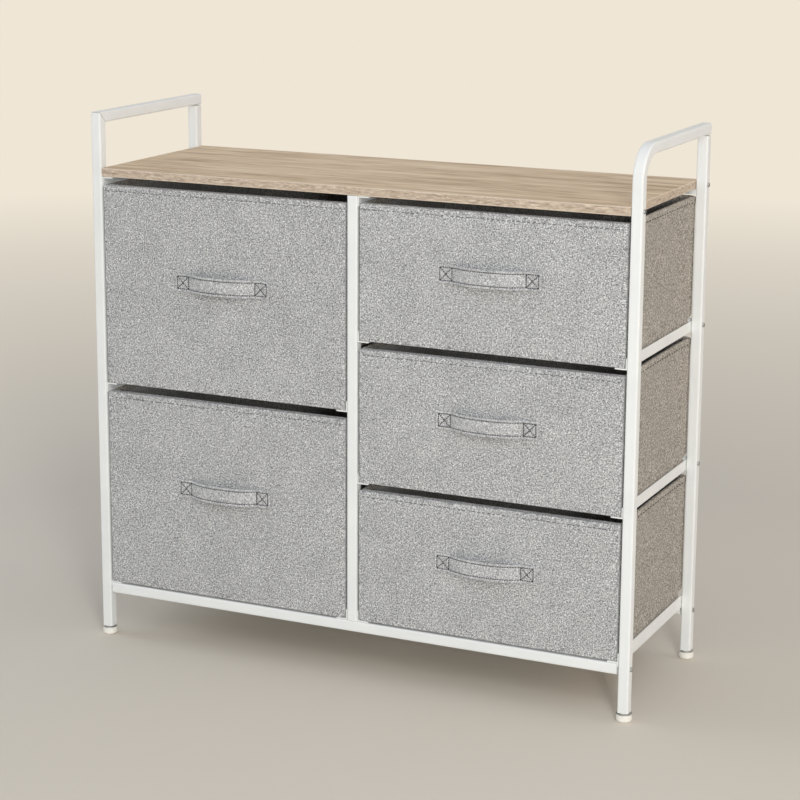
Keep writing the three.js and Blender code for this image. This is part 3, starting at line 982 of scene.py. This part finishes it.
def strap_stitches(lines, middle, front_y):
    """Stitches along the seams of a strap, sunk in its grooves and turned to follow its bow."""
    stitches = []
    for start, end in lines:
        flat = stitched_line(Vector((start[0], 0, start[1])), Vector((end[0], 0, end[1])),
                             Vector((0, -1, 0)), STRAP_STITCH_PITCH)
        for place, run, outward in flat:
            reach = run.normalized() * STRAP_STITCH_LENGTH / 2
            slope = strap_rise(place.x + reach.x) - strap_rise(place.x - reach.x)
            direction = 2 * reach + Vector((0, -slope, 0))
            y = front_y - strap_rise(place.x) + STRAP_GROOVE * STITCH_SINK
            sewn = Vector((middle.x + place.x, y, middle.z + place.z))
            stitches.append((sewn, direction, outward))
    return stitches


def strap(name):
    """Folded felt strap, bowed away from the front, with its seams pressed into it."""
    low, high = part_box(f"{name}_drawer_strap")
    middle = (low + high) / 2
    deselect()
    bpy.ops.mesh.primitive_grid_add(x_subdivisions=round(STRAP_LENGTH / STRAP_CELL), size=1,
                                    y_subdivisions=round(STRAP_WIDTH / STRAP_CELL),
                                    rotation=(math.radians(90), 0, 0),
                                    location=(middle.x, high.y, middle.z))
    bpy.context.object.scale = (STRAP_LENGTH, STRAP_WIDTH, 1)
    piece = placed(f"{name}_drawer_strap_felt")
    extruded(piece, everything, (0, -STRAP_THICKNESS, 0))
    facing_out(piece)
    softened(piece, STRAP_EDGE, STRAP_EDGE_SEGMENTS, FELT_ANGLE)
    lines = strap_lines()
    for vertex in piece.data.vertices:
        x, z = vertex.co.x - middle.x, vertex.co.z - middle.z
        if vertex.co.y < high.y - STRAP_THICKNESS * STRAP_OUTER:
            gap = min(from_line(x, z, line) for line in lines)
            vertex.co.y += STRAP_GROOVE * math.exp(-(gap / STRAP_GROOVE_WIDTH) ** 2)
            edge = STRAP_WIDTH / 2 - abs(z)
            vertex.co.y -= STRAP_RIDGE * math.sin(math.pi * min(1, edge / STRAP_SEAM))
        vertex.co.y -= strap_rise(x)
    smoothed(piece, FELT_ANGLE)
    finished(piece, STRAP_FELT, f"{name}_drawer", "strap_webbing", f"{name}_drawer_strap")
    stitches = strap_stitches(lines, middle, high.y - STRAP_THICKNESS)
    seam(f"{name}_drawer_strap_seam", stitches, STRAP_STITCH_LENGTH, STRAP_STITCH_WIDTH,
         f"{name}_drawer")


# Room, light and camera


def floor():
    """Pale matt floor. Past the object's shadow it fades into the backdrop for the camera."""
    deselect()
    bpy.ops.mesh.primitive_circle_add(vertices=FLOOR_SIDES, radius=FLOOR_RADIUS, fill_type="NGON",
                                      location=(0, 0, 0))
    piece = placed("studio_floor")
    material, tree, surface, place = new_material("pale_floor", Roughness=0.9, IOR=1.45,
                                                  Base_Color=colour(FLOOR_TONE))
    reach = add(tree, "ShaderNodeVectorMath", {0: place}, operation="LENGTH")
    far = add(tree, "ShaderNodeMapRange",
              {"Value": reach.outputs["Value"], "From Min": FADE_START, "From Max": FADE_END})
    seen = add(tree, "ShaderNodeLightPath", {})
    share = add(tree, "ShaderNodeMath", {0: far.outputs[0], 1: seen.outputs["Is Camera Ray"]},
                operation="MULTIPLY")
    glow = add(tree, "ShaderNodeEmission", {"Color": colour(BACKDROP_TONE), "Strength": 1.0})
    mixed = add(tree, "ShaderNodeMixShader",
                {0: share.outputs[0], 1: surface.outputs[0], 2: glow.outputs[0]})
    output = next(n for n in tree.nodes if n.type == "OUTPUT_MATERIAL")
    tree.links.new(mixed.outputs[0], output.inputs["Surface"])
    piece.data.materials.append(material)


def world_light():
    """Even pale surroundings: soft light on the object, and the backdrop where they are seen."""
    world = bpy.data.worlds.new("studio")
    bpy.context.scene.world = world
    world.use_nodes = True
    tree = world.node_tree
    tree.nodes.clear()
    seen = add(tree, "ShaderNodeLightPath", {})
    direct = add(tree, "ShaderNodeMath",
                 {0: seen.outputs["Is Camera Ray"], 1: seen.outputs["Is Glossy Ray"]},
                 operation="MAXIMUM")
    shown = add(tree, "ShaderNodeMath",
                {0: direct.outputs[0], 1: seen.outputs["Is Transmission Ray"]},
                operation="MAXIMUM")
    light = add(tree, "ShaderNodeBackground",
                {"Color": colour(WORLD_TONE), "Strength": WORLD_STRENGTH})
    backdrop = add(tree, "ShaderNodeBackground", {"Color": colour(BACKDROP_TONE), "Strength": 1.0})
    mixed = add(tree, "ShaderNodeMixShader",
                {0: shown.outputs[0], 1: light.outputs[0], 2: backdrop.outputs[0]})
    add(tree, "ShaderNodeOutputWorld", {"Surface": mixed.outputs[0]})


def softbox(name, place, target, size, power, tint):
    """Square area lamp aimed at a point."""
    lamp = bpy.data.lights.new(name, "AREA")
    lamp.shape = "SQUARE"
    lamp.size = size
    lamp.energy = power
    lamp.color = colour(tint)[:3]
    stand = bpy.data.objects.new(name, lamp)
    bpy.context.scene.collection.objects.link(stand)
    aim = (Vector(target) - Vector(place)).to_track_quat("-Z", "Y")
    stand.matrix_world = Matrix.Translation(place) @ aim.to_matrix().to_4x4()


def studio():
    """World, floor and lamps."""
    world_light()
    floor()
    for lamp in LAMPS:
        softbox(*lamp)


def camera():
    """The photograph's view."""
    data = bpy.data.cameras.new("photo_camera")
    data.sensor_width = CAMERA_SENSOR
    data.lens = CAMERA_LENS
    data.shift_x = CAMERA_SHIFT_X
    data.shift_y = CAMERA_SHIFT_Y
    view = bpy.data.objects.new("photo_camera", data)
    bpy.context.scene.collection.objects.link(view)
    turn = (Matrix.Rotation(math.radians(CAMERA_YAW), 4, "Z")
            @ Matrix.Rotation(math.radians(90 + CAMERA_PITCH), 4, "X")
            @ Matrix.Rotation(math.radians(CAMERA_ROLL), 4, "Z"))
    view.matrix_world = Matrix.Translation(CAMERA_PLACE) @ turn
    bpy.context.scene.camera = view


camera()
straight_tubes()
left_arch()
right_arch()
runners()
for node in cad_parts:
    if node.endswith("_foot"):
        glide(node)
    if node.endswith("_screw"):
        screw(node)
top_board()
for drawer in DRAWERS:
    drawer_front(drawer)
    fabric_bin(drawer)
    base_board(drawer)
    hem_seam(drawer)
    strap(drawer)
studio()
bpy.context.scene.view_settings.view_transform = "Standard"

deselect()
